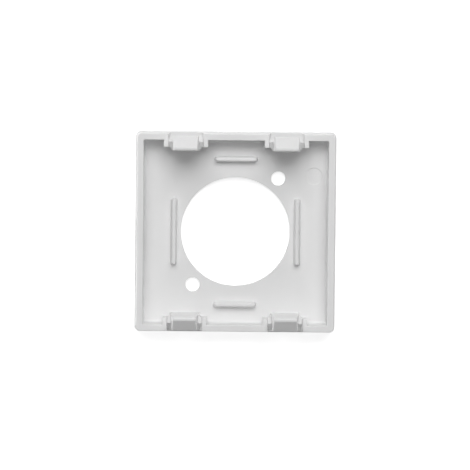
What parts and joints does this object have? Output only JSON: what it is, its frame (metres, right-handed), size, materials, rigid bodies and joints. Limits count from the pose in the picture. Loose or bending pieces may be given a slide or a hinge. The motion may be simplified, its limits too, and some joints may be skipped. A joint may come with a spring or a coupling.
{
  "type": "connector module plate",
  "caption": "Square white snap-in module plate, open at the back, with a round cut-out and screw holes for a panel connector.",
  "frame": {"origin": "middle of the front face, on the axis of the connector hole", "axes": "+Z out of the open back, +X across and +Y up the module as seen from the back"},
  "size_m": [0.045, 0.045, 0.0132],
  "materials": {
    "white_plastic": "satin white moulded plastic with a fine even grain"
  },
  "bodies": {
    "root": {"module_plate": "white_plastic"}
  },
  "joints": []
}
